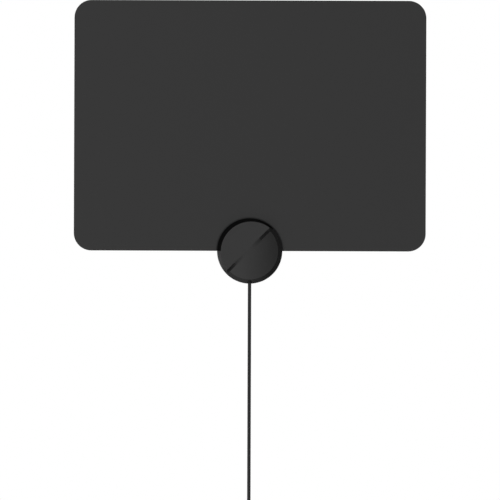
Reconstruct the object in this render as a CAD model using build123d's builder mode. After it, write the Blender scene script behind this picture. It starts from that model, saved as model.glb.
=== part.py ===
from build123d import *
import os
from math import cos, pi, radians, sin, sqrt, tan

# A flat indoor TV antenna: a laminated sheet with two foil radiators inside, a round pod on the middle of
# its lower edge, and a coaxial cable with an F plug. +X is right, +Z is up and -Y faces the viewer.
# The origin is the centre of the pod's flat rear face, and depths run from that face towards the viewer.

os.makedirs("parts", exist_ok=True)

# Sheet
sheet_width = 335.3
sheet_height = 238.8
sheet_corner_radius = 16.7
film_thickness = 0.3
sheet_standoff = 2.3  # pod's rear face to the sheet's rear face

# Foil radiators
foil_thickness = 0.08
foil_border = 10.0  # bare film around the foil
foil_foot = 17.0  # pod's upper end to the radiators' lower edge
foil_corner_radius = 8.0
foil_fit = 0.15  # clearance around the foil in the rear film
slot_width = 9.0  # between the radiators at the foot
slot_mouth = 120.0  # between the radiators at the top
slot_bow_across = 0.28  # point that the slot's curved edge passes, as shares of its width and height
slot_bow_up = 0.54
tab_width = 9.0

# Pod outside
pod_radius = 31.1
pod_rise = 10.0  # face above the sheet
land_height = 0.8  # upright foot of the rim
flat_inset = 1.95  # rim slope at the ends of the flat half
flat_shift_right = 1.7  # how far the flat face sits off centre
flat_shift_down = 1.15
crown_radius = 110.0  # curve of the domed half
crown_shift = -1.0  # highest point of the dome along the seam
bevel_width = 4.2  # bevelled rim of the domed half
bevel_height = 2.4
seam_angle = 45.0  # seam between the halves, from +X towards +Z
seam_start = 2.4  # edge of the flat half, before the middle of the seam
seam_end = 0.5  # edge of the domed half, past it
edge_softness = 0.35  # rounding of the face's edge
rear_edge_radius = 0.9

# Pod inside
rim_wall = 2.0
face_wall = 1.7
rear_floor = 1.4
sheet_gap = 0.2  # sheet to the covers
lip_height = 1.0
lip_thickness = 0.9
lip_fit = 0.15
post_diameter = 3.0
post_fit = 0.1

# Screws of the pod
screw_inset = 9.0  # screw axis to the pod's edge
screw_angles = (90.0, 210.0, 330.0)
screw_diameter = 2.0
screw_length = 7.4
screw_head_diameter = 3.8
screw_head_angle = 90.0
screw_recess = 0.2
screw_fit = 0.05
screw_clearance = 0.15
boss_wall = 1.6
cross_width = 0.5
cross_length = 2.4
cross_depth = 0.55

# Board and its parts
board_width = 27.0
board_above = 12.5  # board above the sheet's lower edge
board_below = 11.5
board_thickness = 1.6
board_corner_radius = 1.5
rivet_height = 8.0  # rivets above the sheet's lower edge
rivet_diameter = 2.4
rivet_bore = 1.7
rivet_flange_diameter = 4.0
rivet_flange = 0.3
rivet_fit = 0.05
core_width = 7.0
core_length = 5.0
core_depth = 4.2
core_height = 4.5  # core's middle above the sheet's lower edge
core_hole_diameter = 1.6
core_hole_spacing = 3.4
wire_width = 0.3
wire_pitch = 0.45
wire_turns = 3
wire_overhang = 0.4
chip_width = 2.0
chip_length = 1.25
chip_depth = 0.7
chip_places = ((-7.5, -3.0), (7.5, -3.0), (7.5, 1.0))

# Cable
cable_diameter = 3.3
braid_diameter = 2.5
braid_length = 4.5
braid_lift = 0.55  # braid above the board
dielectric_diameter = 1.9
dielectric_length = 2.5
conductor_diameter = 0.6
conductor_length = 3.1
jacket_gap = 1.2  # jacket's end to the board
bush_wall = 0.55  # soft bush round the cable in the exit passage
bush_fit = 0.05
bush_inset = 0.9  # bush to the pod's edge
exit_clearance = 0.1
exit_depth = 7.0  # length of the exit passage
saddle_fit = 0.05
saddle_drop = 1.3  # saddle's top below the cable's axis
notch_fit = 0.15
strain_inset = 12.5  # strain tie to the pod's edge
strain_width = 2.5
strain_thickness = 0.8
strain_head_width = 4.0
strain_head_depth = 1.5
strain_room = 0.2  # strain tie to the dome over it
solder_width = 5.0
solder_length = 3.0
solder_foot_radius = 1.6
solder_tip_radius = 0.8
solder_cover = 0.3
solder_taper = 20.0

# Cable below the pod
cable_drop = 254.0  # pod's middle to the bend above the coil
bend_share = 0.45  # part of the run to the coil that the bend takes up
coil_radius = 22.0  # middle of the turns
coil_layers = 5
coil_rows = 4
coil_slack = 0.15
coil_round = 3.0
wall_gap = 0.8  # rear face of the pod to the back of the coil
coil_entry = 45.0  # where the cable joins the coil
coil_tie_angle = 22.0
coil_tie_width = 4.0
coil_tie_thickness = 0.5
coil_tie_fit = 0.35
coil_tie_end = 9.0
coil_tie_end_width = 1.8
tail_drop = 16.0  # bottom of the coil to the plug

# Plug
boot_length = 22.0
boot_taper = 15.0
boot_tip_radius = 2.4
boot_radius = 4.6
boot_grooves = 4
boot_groove_pitch = 3.0
boot_groove_width = 1.2
boot_groove_depth = 0.6
spigot_radius = 2.6
spigot_length = 4.0
neck_radius = 3.4
neck_length = 2.4
flange_radius = 4.1
flange_length = 1.2
nut_flats = 11.0
nut_length = 10.0
nut_lip = 1.6
nut_thread_radius = 4.35
nut_corner_radius = 6.1
nut_fit = 0.15
nut_gap = 0.3
insulator_radius = 2.2
insulator_length = 4.0
insulator_fit = 0.02
pin_radius = 0.45
pin_reach = 1.5  # pin past the nut

# Depths from the pod's rear face
d_back = sheet_standoff
d_joint = d_back + film_thickness
d_part = d_joint - foil_thickness
d_front = d_joint + film_thickness
d_land = d_front + land_height
d_top = d_front + pod_rise
d_board = d_front + board_thickness
d_cable = d_board + braid_lift + braid_diameter / 2

# Places that the pieces share
cable_radius = cable_diameter / 2
screw_radius = screw_diameter / 2
head_radius = screw_head_diameter / 2
boss_radius = screw_radius + screw_fit + boss_wall
rivet_x = (slot_width + tab_width) / 2
inner_radius = pod_radius - rim_wall
reach = 2 * pod_radius  # past the pod on every side
bush_radius = cable_radius + bush_fit + bush_wall
exit_radius = bush_radius + exit_clearance
jacket_end = -board_below - jacket_gap
braid_end = jacket_end + braid_length
dielectric_end = braid_end + dielectric_length
conductor_end = dielectric_end + conductor_length
screw_points = [
    ((pod_radius - screw_inset) * cos(radians(a)), (pod_radius - screw_inset) * sin(radians(a)))
    for a in screw_angles
]
post_x = board_width / 2 - post_diameter
post_z = -board_below + post_diameter

# Seam directions: along the seam, and across it towards the domed half
along = (cos(radians(seam_angle)), 0, sin(radians(seam_angle)))
across = (sin(radians(seam_angle)), 0, -cos(radians(seam_angle)))
along_plane = Plane(origin=(0, 0, 0), x_dir=along, z_dir=across)

# Highest point of the dome, and the strain tie, which sits further in where the dome over it is low
crown_x = crown_shift * along[0] - seam_start * across[0]
crown_z = crown_shift * along[2] - seam_start * across[2]
d_inside = d_top - face_wall
strain_fall = d_inside - d_cable - cable_radius - saddle_fit - strain_thickness - strain_room
strain_span = sqrt(crown_radius**2 - (crown_radius - strain_fall) ** 2 - crown_x**2)
strain_z = -min(pod_radius - strain_inset, strain_span - crown_z - strain_width / 2)


def sheet_outline():
    with Locations((0, sheet_height / 2)):
        RectangleRounded(sheet_width, sheet_height, sheet_corner_radius)


def element_sketch(side, grow):
    """Outline of one radiator, with its tab down to the rivet. The slot between the radiators widens upwards."""
    foot = pod_radius + foil_foot
    top = sheet_height - foil_border
    outer = sheet_width / 2 - foil_border
    inner = slot_width / 2
    with BuildSketch(Plane.XZ) as outline:
        with BuildLine():
            tab = Polyline(
                (inner, foot),
                (inner, rivet_height - tab_width / 2),
                (inner + tab_width, rivet_height - tab_width / 2),
                (inner + tab_width, foot),
                (outer, foot),
                (outer, top),
                (slot_mouth / 2, top),
            )
            ThreePointArc(
                tab @ 1,
                (inner + (slot_mouth / 2 - inner) * slot_bow_across, foot + (top - foot) * slot_bow_up),
                tab @ 0,
            )
        make_face()
        fillet(outline.vertices().group_by(Axis.X)[-1], foil_corner_radius)
        if grow > 0:
            offset(amount=grow, kind=Kind.INTERSECTION)
        if side < 0:
            mirror(about=Plane.YZ, mode=Mode.REPLACE)
    return outline.sketch


def element(side):
    """One radiator of foil, with a hole for its rivet."""
    outline = element_sketch(side, 0)
    with BuildPart() as foil:
        with BuildSketch(Plane.XZ.offset(d_part)):
            add(outline)
            with Locations((side * rivet_x, rivet_height)):
                Circle(rivet_diameter / 2 + rivet_fit, mode=Mode.SUBTRACT)
        extrude(amount=foil_thickness)
    return foil.part


def crown_line(plane, inset, top, span):
    """Line of the dome along the seam, on a plane that lies some way from its highest point."""
    radius = sqrt(crown_radius**2 - inset**2)
    fall = crown_radius - sqrt(radius**2 - span**2)
    with BuildLine(plane) as line:
        ThreePointArc(
            (crown_shift - span, top - fall),
            (crown_shift, top - crown_radius + radius),
            (crown_shift + span, top - fall),
        )
    return line.edge()


def flat_half(radius, land, top, start, end, soft):
    """The half of the pod that lies flat, with a ramp along the seam that steepens towards its ends."""
    with BuildLine(along_plane.offset(start)) as level:
        Line((crown_shift - reach, top), (crown_shift + reach, top))
    foot = crown_line(along_plane.offset(end), end + seam_start, top, reach)
    ramp = Face.make_surface_from_curves(level.edge(), foot)
    with BuildPart() as half:
        with BuildSketch(Plane.XZ.offset(land)):
            Circle(radius)
        with BuildSketch(Plane.XZ.offset(top)):
            with Locations((flat_shift_right, -flat_shift_down)):
                Circle(radius - flat_inset)
        loft(ruled=True)
        if soft > 0:
            fillet(half.edges().group_by(Axis.Y)[0], soft)
        with BuildPart(mode=Mode.INTERSECT):
            with BuildSketch(along_plane.offset(start)):
                with Locations((0, land)):
                    Rectangle(2 * reach, top - land, align=(Align.CENTER, Align.MIN))
            extrude(amount=-reach)
            extrude(ramp, amount=reach, dir=(0, 1, 0))
    return half.part


def domed_half(radius, land, top, end, soft):
    """The half of the pod that falls away from the middle of the seam, inside a bevelled rim."""
    foot = land - radius
    with BuildPart() as half:
        with BuildSketch(along_plane.offset(end)):
            with Locations((0, foot)):
                Rectangle(2 * reach, reach, align=(Align.CENTER, Align.MIN))
        extrude(amount=reach)
        with BuildSketch(Plane.XZ.offset(foot)):
            Circle(radius)
        extrude(amount=reach, mode=Mode.INTERSECT)
        with Locations((crown_x, crown_radius - top, crown_z)):
            Sphere(crown_radius, mode=Mode.INTERSECT)
        crown = half.faces().filter_by(GeomType.SPHERE).sort_by(Axis.Y)[0]
        rim = crown.edges().sort_by(SortBy.LENGTH)[-1]
        chamfer(rim, length=bevel_width, length2=bevel_height, reference=crown)
        if soft > 0:
            crown = half.faces().filter_by(GeomType.SPHERE).sort_by(Axis.Y)[0]
            fillet(crown.edges().sort_by(SortBy.LENGTH)[-1], soft)
        with BuildSketch(Plane.XZ.offset(land)):
            Circle(reach)
        extrude(amount=reach, mode=Mode.INTERSECT)
    return half.part


def rods(places, radius, start, end):
    """Round posts or holes across the pod, from one depth to another."""
    with BuildPart() as bars:
        with BuildSketch(Plane.XZ.offset(start)):
            with Locations(*places):
                Circle(radius)
        extrude(amount=end - start)
    return bars.part


# Sheet
with BuildPart() as front_film:
    with BuildSketch(Plane.XZ.offset(d_joint)):
        sheet_outline()
        with Locations((rivet_x, rivet_height), (-rivet_x, rivet_height)):
            Circle(rivet_diameter / 2 + rivet_fit, mode=Mode.SUBTRACT)
        with Locations(screw_points[0]):
            Circle(screw_radius + screw_clearance, mode=Mode.SUBTRACT)
    extrude(amount=film_thickness)
front_film.part.label = "front_film"
export_step(front_film.part, "parts/front_film.step")

pockets = [element_sketch(side, foil_fit) for side in (-1, 1)]
with BuildPart() as back_film:
    with BuildSketch(Plane.XZ.offset(d_back)):
        sheet_outline()
        Circle(pod_radius + sheet_gap, mode=Mode.SUBTRACT)
    extrude(amount=film_thickness)
    with BuildSketch(Plane.XZ.offset(d_part)):
        add(pockets)
    extrude(amount=foil_thickness, mode=Mode.SUBTRACT)
back_film.part.label = "back_film"
export_step(back_film.part, "parts/back_film.step")

with BuildPart() as element_left:
    add(element(-1))
element_left.part.label = "element_left"
export_step(element_left.part, "parts/element_left.step")

with BuildPart() as element_right:
    add(element(1))
element_right.part.label = "element_right"
export_step(element_right.part, "parts/element_right.step")

# Pod: outer and inner forms, then the cover between them
outer_halves = [
    flat_half(pod_radius, d_land, d_top, -seam_start, seam_end, edge_softness),
    domed_half(pod_radius, d_land, d_top, seam_end, edge_softness),
]
inner_halves = [
    flat_half(inner_radius, d_land, d_inside, -seam_start - face_wall, seam_end - face_wall, 0),
    domed_half(inner_radius, d_land, d_inside, seam_end - face_wall, 0),
]

with BuildPart() as pod_outside:
    with BuildSketch(Plane.XZ.offset(d_part)):
        Circle(pod_radius)
    extrude(amount=d_land - d_part)
    add(outer_halves)

with BuildPart() as pod_inside:
    with BuildSketch(Plane.XZ.offset(d_part)):
        Circle(inner_radius)
    extrude(amount=d_land - d_part)
    add(inner_halves)

with BuildPart() as pod_bosses:
    add(rods(screw_points, boss_radius, d_part, d_top))
    posts = [(post_x, post_z), (-post_x, post_z)]
    add(rods(posts, post_diameter / 2, d_board + post_fit, d_top))
    add(pod_outside.part, mode=Mode.INTERSECT)

with BuildPart() as front_cover:
    add(pod_outside.part)
    add(pod_inside.part, mode=Mode.SUBTRACT)
    add(pod_bosses.part)
    pilot_end = screw_recess + screw_length + screw_fit
    add(rods(screw_points, screw_radius + screw_fit, d_part, pilot_end), mode=Mode.SUBTRACT)
    with BuildSketch(Plane.XZ.offset(d_part)):
        with Locations((0, -sheet_gap)):
            Rectangle(2 * reach, reach, align=(Align.CENTER, Align.MIN))
    extrude(amount=d_front - d_part, mode=Mode.SUBTRACT)
    with BuildSketch(Plane.XY.offset(-pod_radius - exit_depth)):
        with Locations((0, -d_cable)):
            Circle(exit_radius)
            Rectangle(2 * exit_radius, d_cable - d_part, align=(Align.CENTER, Align.MIN))
    extrude(amount=2 * exit_depth, mode=Mode.SUBTRACT)
front_cover.part.label = "front_cover"
export_step(front_cover.part, "parts/front_cover.step")

with BuildPart() as cable_saddle:
    with BuildSketch(Plane.XY.offset(-pod_radius)):
        with Locations((0, -d_cable + saddle_drop)):
            saddle_width = 2 * (exit_radius - notch_fit)
            Rectangle(saddle_width, d_cable - saddle_drop - rear_floor / 2, align=(Align.CENTER, Align.MIN))
        with Locations((0, -d_cable)):
            Circle(bush_radius + saddle_fit, mode=Mode.SUBTRACT)
    extrude(amount=exit_depth - notch_fit)
    with BuildSketch(Plane.XZ):
        Circle(pod_radius)
    extrude(amount=d_land, mode=Mode.INTERSECT)

with BuildPart() as back_cover:
    with BuildSketch(Plane.XZ):
        Circle(pod_radius)
    extrude(amount=d_part)
    fillet(back_cover.edges().group_by(Axis.Y)[-1], rear_edge_radius)
    with BuildSketch(Plane.XZ.offset(rear_floor)):
        Circle(inner_radius)
    extrude(amount=d_part - rear_floor, mode=Mode.SUBTRACT)
    add(rods(screw_points, boss_radius, rear_floor / 2, d_part))
    add(rods(posts, post_diameter / 2, rear_floor / 2, d_front))
    with BuildSketch(Plane.XZ.offset(rear_floor / 2)):
        Circle(inner_radius - lip_fit)
        Circle(inner_radius - lip_fit - lip_thickness, mode=Mode.SUBTRACT)
        with Locations((0, -exit_depth)):
            Rectangle(2 * reach, reach, align=(Align.CENTER, Align.MAX), mode=Mode.INTERSECT)
        Rectangle(4 * exit_radius, 2 * reach, mode=Mode.SUBTRACT)
    extrude(amount=d_part + lip_height - rear_floor / 2)
    add(cable_saddle.part)
    for x, z in screw_points:
        with Locations(Plane(origin=(x, 0, z), z_dir=(0, 1, 0))):
            CounterSinkHole(
                screw_radius + screw_clearance,
                head_radius + screw_recess + screw_clearance,
                counter_sink_angle=screw_head_angle,
            )
back_cover.part.label = "back_cover"
export_step(back_cover.part, "parts/back_cover.step")

# One screw, its head at the rear and its point towards the viewer
with BuildPart() as screw:
    with BuildSketch(Plane.XY):
        head_end = screw_recess + head_radius - screw_radius
        tip = screw_recess + screw_length
        Polygon(
            (0, -screw_recess),
            (head_radius, -screw_recess),
            (screw_radius, -head_end),
            (screw_radius, -tip + screw_radius),
            (0, -tip),
            align=None,
        )
    revolve(axis=Axis.Y)
    with BuildSketch(Plane.XZ.offset(screw_recess)):
        Rectangle(cross_length, cross_width)
        Rectangle(cross_width, cross_length)
    extrude(amount=cross_depth, mode=Mode.SUBTRACT)

with BuildPart() as cover_screws:
    with Locations(*[(x, 0, z) for x, z in screw_points]):
        add(screw.part)
cover_screws.part.label = "cover_screws"
export_step(cover_screws.part, "parts/cover_screws.step")

# Board and what sits on it
with BuildPart() as circuit_board:
    with BuildSketch(Plane.XZ.offset(d_front)):
        with Locations((0, (board_above - board_below) / 2)):
            RectangleRounded(board_width, board_above + board_below, board_corner_radius)
        with Locations((rivet_x, rivet_height), (-rivet_x, rivet_height)):
            Circle(rivet_diameter / 2 + rivet_fit, mode=Mode.SUBTRACT)
    extrude(amount=board_thickness)
circuit_board.part.label = "circuit_board"
export_step(circuit_board.part, "parts/circuit_board.step")

with BuildPart() as feed_rivets:
    rivets = [(rivet_x, rivet_height), (-rivet_x, rivet_height)]
    rear = d_part - rivet_flange
    add(rods(rivets, rivet_flange_diameter / 2, rear, d_part))
    add(rods(rivets, rivet_diameter / 2, d_part, d_board))
    add(rods(rivets, rivet_flange_diameter / 2, d_board, d_board + rivet_flange))
    add(rods(rivets, rivet_bore / 2, rear, d_board + rivet_flange), mode=Mode.SUBTRACT)
feed_rivets.part.label = "feed_rivets"
export_step(feed_rivets.part, "parts/feed_rivets.step")

with BuildPart() as balun_core:
    with BuildSketch(Plane.XZ.offset(d_board)):
        with Locations((0, core_height)):
            Rectangle(core_width, core_length)
    extrude(amount=core_depth)
    with BuildSketch(Plane.XY.offset(core_height)):
        with Locations(
            (core_hole_spacing / 2, -d_board - core_depth / 2),
            (-core_hole_spacing / 2, -d_board - core_depth / 2),
        ):
            Circle(core_hole_diameter / 2)
    extrude(amount=core_length, both=True, mode=Mode.SUBTRACT)
balun_core.part.label = "balun_core"
export_step(balun_core.part, "parts/balun_core.step")

with BuildPart() as balun_winding:
    for turn in range(wire_turns):
        level = d_board + core_depth / 2 + (turn - (wire_turns - 1) / 2) * wire_pitch - wire_width / 2
        with BuildSketch(Plane.XZ.offset(level)):
            with Locations((0, core_height)):
                loop_height = core_length + 2 * (wire_overhang + wire_width)
                RectangleRounded(core_hole_spacing + wire_width, loop_height, 2 * wire_width)
                Rectangle(
                    core_hole_spacing - wire_width,
                    loop_height - 2 * wire_width,
                    mode=Mode.SUBTRACT,
                )
        extrude(amount=wire_width)
balun_winding.part.label = "balun_winding"
export_step(balun_winding.part, "parts/balun_winding.step")

with BuildPart() as chip_parts:
    with BuildSketch(Plane.XZ.offset(d_board)):
        with Locations(*chip_places):
            Rectangle(chip_width, chip_length)
    extrude(amount=chip_depth)
chip_parts.part.label = "chip_parts"
export_step(chip_parts.part, "parts/chip_parts.step")


# Stripped end of the cable on the board
def core_piece(radius, start, end):
    with BuildPart() as piece:
        with BuildSketch(Plane.XY.offset(start)):
            with Locations((0, -d_cable)):
                Circle(radius)
        extrude(amount=end - start)
    return piece.part


with BuildPart() as cable_braid:
    add(core_piece(braid_diameter / 2, jacket_end, braid_end))
cable_braid.part.label = "cable_braid"
export_step(cable_braid.part, "parts/cable_braid.step")

with BuildPart() as cable_dielectric:
    add(core_piece(dielectric_diameter / 2, braid_end, dielectric_end))
cable_dielectric.part.label = "cable_dielectric"
export_step(cable_dielectric.part, "parts/cable_dielectric.step")

with BuildPart() as cable_conductor:
    add(core_piece(conductor_diameter / 2, dielectric_end, conductor_end))
cable_conductor.part.label = "cable_conductor"
export_step(cable_conductor.part, "parts/cable_conductor.step")

with BuildPart() as solder_joints:
    with BuildSketch(Plane.XZ.offset(d_board)):
        with Locations((0, braid_end - solder_length / 2)):
            Rectangle(solder_width, solder_length)
    extrude(amount=d_cable - d_board, taper=solder_taper)
    with BuildSketch(Plane.XZ.offset(d_board)):
        with Locations((0, conductor_end - solder_foot_radius)):
            Circle(solder_foot_radius)
    with BuildSketch(Plane.XZ.offset(d_cable + solder_cover + conductor_diameter / 2)):
        with Locations((0, conductor_end - solder_foot_radius)):
            Circle(solder_tip_radius)
    loft()
    add(cable_braid.part, mode=Mode.SUBTRACT)
    add(cable_conductor.part, mode=Mode.SUBTRACT)
solder_joints.part.label = "solder_joints"
export_step(solder_joints.part, "parts/solder_joints.step")

with BuildPart() as strain_tie:
    with BuildSketch(Plane.XY.offset(strain_z - strain_width / 2)):
        with Locations((0, -d_cable)):
            Circle(cable_radius + saddle_fit + strain_thickness)
        with Locations((0, -d_cable + cable_radius + saddle_fit)):
            Rectangle(strain_head_width, strain_head_depth, align=(Align.CENTER, Align.MIN))
        with Locations((0, -d_cable)):
            Circle(cable_radius + saddle_fit, mode=Mode.SUBTRACT)
    extrude(amount=strain_width)
strain_tie.part.label = "strain_tie"
export_step(strain_tie.part, "parts/strain_tie.step")

with BuildPart() as cable_bush:
    with BuildSketch(Plane.XY.offset(-pod_radius + bush_inset)):
        with Locations((0, -d_cable)):
            Circle(bush_radius)
            Circle(cable_radius + bush_fit, mode=Mode.SUBTRACT)
    extrude(amount=exit_depth - bush_inset)
cable_bush.part.label = "cable_bush"
export_step(cable_bush.part, "parts/cable_bush.step")

# Cable below the pod: it hangs straight, then joins a tied coil that hangs under it
coil_outer = coil_radius + coil_layers * cable_diameter / 2
coil_half_width = coil_rows * cable_diameter / 2
coil_depth = wall_gap + coil_half_width
coil_z = -cable_drop - coil_outer / sin(radians(coil_entry))
rear_row = coil_depth - coil_half_width + cable_radius
front_row = coil_depth + coil_half_width - cable_radius
entry = Vector(
    coil_outer * cos(radians(coil_entry)),
    -rear_row,
    coil_z + coil_outer * sin(radians(coil_entry)),
)
start = Vector(0, -d_cable, jacket_end)
bend = Vector(0, -d_cable, -cable_drop)
turn = (bend - start).get_angle(entry - bend)
bend_radius = bend_share * (entry - bend).length / tan(radians(turn / 2))

with BuildPart() as cable:
    with BuildLine() as route:
        FilletPolyline(start, bend, entry, radius=bend_radius)
    with BuildSketch(Plane(origin=start, z_dir=(0, 0, -1))):
        Circle(cable_radius)
    sweep(path=route.wire())
cable.part.label = "cable"
export_step(cable.part, "parts/cable.step")
route_length = route.wire().length
print("cable bend radius", bend_radius, "length", route_length)
print("cable volume", cable.part.volume, "section by length", pi * cable_radius**2 * route_length)

with BuildPart() as cable_coil:
    with BuildSketch(Plane.XY.offset(coil_z)):
        with Locations((coil_radius, -coil_depth)):
            RectangleRounded(
                coil_layers * cable_diameter + cable_diameter + 2 * coil_slack,
                2 * coil_half_width + 2 * coil_slack,
                coil_round,
            )
    revolve(axis=Axis((0, -coil_depth, coil_z), (0, 1, 0)))
cable_coil.part.label = "cable_coil"
export_step(cable_coil.part, "parts/cable_coil.step")

tie_out = (cos(radians(coil_tie_angle)), 0, sin(radians(coil_tie_angle)))
tie_plane = Plane(
    origin=(coil_radius * tie_out[0], -coil_depth, coil_z + coil_radius * tie_out[2]),
    x_dir=tie_out,
    z_dir=(-tie_out[2], 0, tie_out[0]),
)
tie_inner_width = coil_layers * cable_diameter + cable_diameter + 2 * (coil_slack + coil_tie_fit)
tie_inner_depth = 2 * (coil_half_width + coil_slack + coil_tie_fit)
with BuildPart() as coil_tie:
    with BuildSketch(tie_plane):
        RectangleRounded(
            tie_inner_width + 2 * coil_tie_thickness,
            tie_inner_depth + 2 * coil_tie_thickness,
            coil_round + coil_tie_thickness,
        )
        with Locations((tie_inner_width / 2, 0)):
            Rectangle(coil_tie_end, coil_tie_end_width, align=(Align.MIN, Align.CENTER))
        RectangleRounded(tie_inner_width, tie_inner_depth, coil_round, mode=Mode.SUBTRACT)
    extrude(amount=coil_tie_width / 2, both=True)
coil_tie.part.label = "coil_tie"
export_step(coil_tie.part, "parts/coil_tie.step")

plug_z = coil_z - coil_outer - tail_drop
with BuildPart() as cable_tail:
    with BuildSketch(Plane.XY.offset(plug_z)):
        with Locations((coil_outer, -front_row)):
            Circle(cable_radius)
    extrude(amount=coil_z - plug_z)
cable_tail.part.label = "cable_tail"
export_step(cable_tail.part, "parts/cable_tail.step")

# Plug, hanging from the tail: depths run down from the boot's upper end
plug_plane = Plane(origin=(coil_outer, -front_row, plug_z), x_dir=(1, 0, 0), z_dir=(0, 0, -1))
nut_start = boot_length + nut_gap
flange_start = boot_length + neck_length
plug_face = flange_start + flange_length
nut_end = nut_start + nut_length


def drum(radius, begin, length):
    """A round solid on the plug's axis."""
    with BuildPart() as bar:
        with BuildSketch(plug_plane.offset(begin)):
            Circle(radius)
        extrude(amount=length)
    return bar.part


with BuildPart() as plug_boot:
    with BuildSketch(plug_plane):
        Circle(boot_tip_radius)
    with BuildSketch(plug_plane.offset(boot_taper)):
        Circle(boot_radius)
    loft(ruled=True)
    add(drum(boot_radius, boot_taper, boot_length - boot_taper))
    for groove in range(boot_grooves):
        at = boot_groove_pitch * (groove + 0.5)
        inner = boot_tip_radius + (boot_radius - boot_tip_radius) * at / boot_taper - boot_groove_depth
        with BuildSketch(plug_plane.offset(at)):
            Circle(boot_radius)
            Circle(inner, mode=Mode.SUBTRACT)
        extrude(amount=boot_groove_width, mode=Mode.SUBTRACT)
    add(drum(spigot_radius, boot_length - spigot_length, spigot_length), mode=Mode.SUBTRACT)
plug_boot.part.label = "plug_boot"
export_step(plug_boot.part, "parts/plug_boot.step")

with BuildPart() as plug_body:
    add(drum(spigot_radius, boot_length - spigot_length, spigot_length))
    add(drum(neck_radius, boot_length, neck_length))
    add(drum(flange_radius, flange_start, flange_length))
    add(drum(insulator_radius + insulator_fit, plug_face - insulator_length, insulator_length), mode=Mode.SUBTRACT)
plug_body.part.label = "plug_body"
export_step(plug_body.part, "parts/plug_body.step")

with BuildPart() as plug_insulator:
    add(drum(insulator_radius, plug_face - insulator_length, insulator_length))
    add(drum(pin_radius + insulator_fit, plug_face - insulator_length, insulator_length), mode=Mode.SUBTRACT)
plug_insulator.part.label = "plug_insulator"
export_step(plug_insulator.part, "parts/plug_insulator.step")

with BuildPart() as plug_pin:
    add(drum(pin_radius, plug_face - insulator_length, nut_end + pin_reach - plug_face + insulator_length))
    chamfer(plug_pin.edges().group_by(Axis.Z)[0], pin_radius / 2)
plug_pin.part.label = "plug_pin"
export_step(plug_pin.part, "parts/plug_pin.step")

with BuildPart() as coupling_nut:
    with BuildSketch(plug_plane.offset(nut_start)):
        RegularPolygon(nut_flats / 2, 6, major_radius=False)
        Circle(nut_corner_radius, mode=Mode.INTERSECT)
    extrude(amount=nut_length)
    add(drum(neck_radius + nut_fit, nut_start, nut_lip), mode=Mode.SUBTRACT)
    add(drum(nut_thread_radius, nut_start + nut_lip, nut_length - nut_lip), mode=Mode.SUBTRACT)
coupling_nut.part.label = "coupling_nut"
export_step(coupling_nut.part, "parts/coupling_nut.step")

print("plug axis", coil_outer, -front_row, "plug face z", plug_z - plug_face, "nut end z", plug_z - nut_end)
print("cable axis depth", d_cable, "coil centre", -coil_depth, coil_z, "coil outer", coil_outer)
print("rows", rear_row, front_row, "face depth", d_top, "sheet front depth", d_front)
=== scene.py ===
# %% [markdown]
# # A flat indoor TV antenna
# The antenna is a thin laminated sheet with a round pod on the middle of its lower edge. A coaxial cable
# hangs from the pod and ends in an F plug. The CAD model gives every rigid piece its true size and place.
# This lesson keeps those pieces, makes again the ones that a solid can't show well (the cable, its tie,
# the pod's smooth front and the plug's threaded nut), and then gives each one the finish of its real
# material.

# %% Load the CAD model
import math

import bpy
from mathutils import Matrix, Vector


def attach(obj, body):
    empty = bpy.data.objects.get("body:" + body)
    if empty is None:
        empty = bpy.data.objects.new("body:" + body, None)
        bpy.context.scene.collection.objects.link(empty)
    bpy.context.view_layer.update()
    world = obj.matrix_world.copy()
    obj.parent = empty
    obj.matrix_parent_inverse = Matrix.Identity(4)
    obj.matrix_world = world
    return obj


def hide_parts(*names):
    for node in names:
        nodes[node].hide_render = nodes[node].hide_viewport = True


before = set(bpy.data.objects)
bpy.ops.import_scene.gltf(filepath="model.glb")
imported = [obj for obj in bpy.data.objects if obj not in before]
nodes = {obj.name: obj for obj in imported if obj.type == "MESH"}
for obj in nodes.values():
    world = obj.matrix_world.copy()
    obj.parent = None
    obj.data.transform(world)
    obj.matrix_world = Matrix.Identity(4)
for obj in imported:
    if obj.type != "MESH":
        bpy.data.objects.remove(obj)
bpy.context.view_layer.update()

MM = 0.001
QUARTER_TURN = math.radians(90)

# %% [markdown]
# ## The camera
# The antenna was photographed square on, from far away, so that its long sides stay parallel. A long lens
# at four metres does the same. The width of the view at the sheet is known from the sheet's own width,
# and the lens follows from it: a 36 mm sensor sees that width at that distance. The camera leans a fifth
# of a degree, as it did there.

# %% Camera
sensor_width = 36.0
view_width = 476.35 * MM
camera_distance = 4.0
camera_right = 0.32 * MM
camera_height = 0.94 * MM
camera_roll = math.radians(-0.2)
sheet_front = -2.9 * MM

bpy.ops.object.select_all(action="DESELECT")
bpy.ops.object.camera_add(
    location=(camera_right, sheet_front - camera_distance, camera_height),
    rotation=(QUARTER_TURN, camera_roll, 0),
)
camera = bpy.context.object
camera.data.sensor_width = sensor_width
camera.data.lens = sensor_width * camera_distance / view_width
bpy.context.scene.camera = camera
print("lens", round(camera.data.lens, 1), "mm")

# %% [markdown]
# ## The cable
# A coaxial cable 3.3 mm thick leaves the pod downwards and hangs straight, because it has some weight and
# nothing pulls it aside. The rest of its ten feet is wound into a neat coil that hangs on it, with the
# plug below. A tube swept along straight runs would show hard corners, so the cable is one NURBS curve:
# its control points are the corners of the route, and the curve rounds them as a springy cable does. A
# curve of order 3 runs a little inside points that lie on a circle, by the cosine of half the step, so
# the coil's points sit that much further out.

# %% Cable: route
cable_diameter = 3.3 * MM
cable_depth = -6.3 * MM
cable_start = (0, cable_depth, -12.7 * MM)
bend = (0, cable_depth, -254.0 * MM)
coil_centre = (0, -7.4 * MM, -296.78 * MM)
coil_outer = 30.25 * MM
coil_inner = 13.75 * MM
coil_entry = math.radians(45)
bend_run = 30.5 * MM
plug_top = -343.03 * MM

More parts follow.
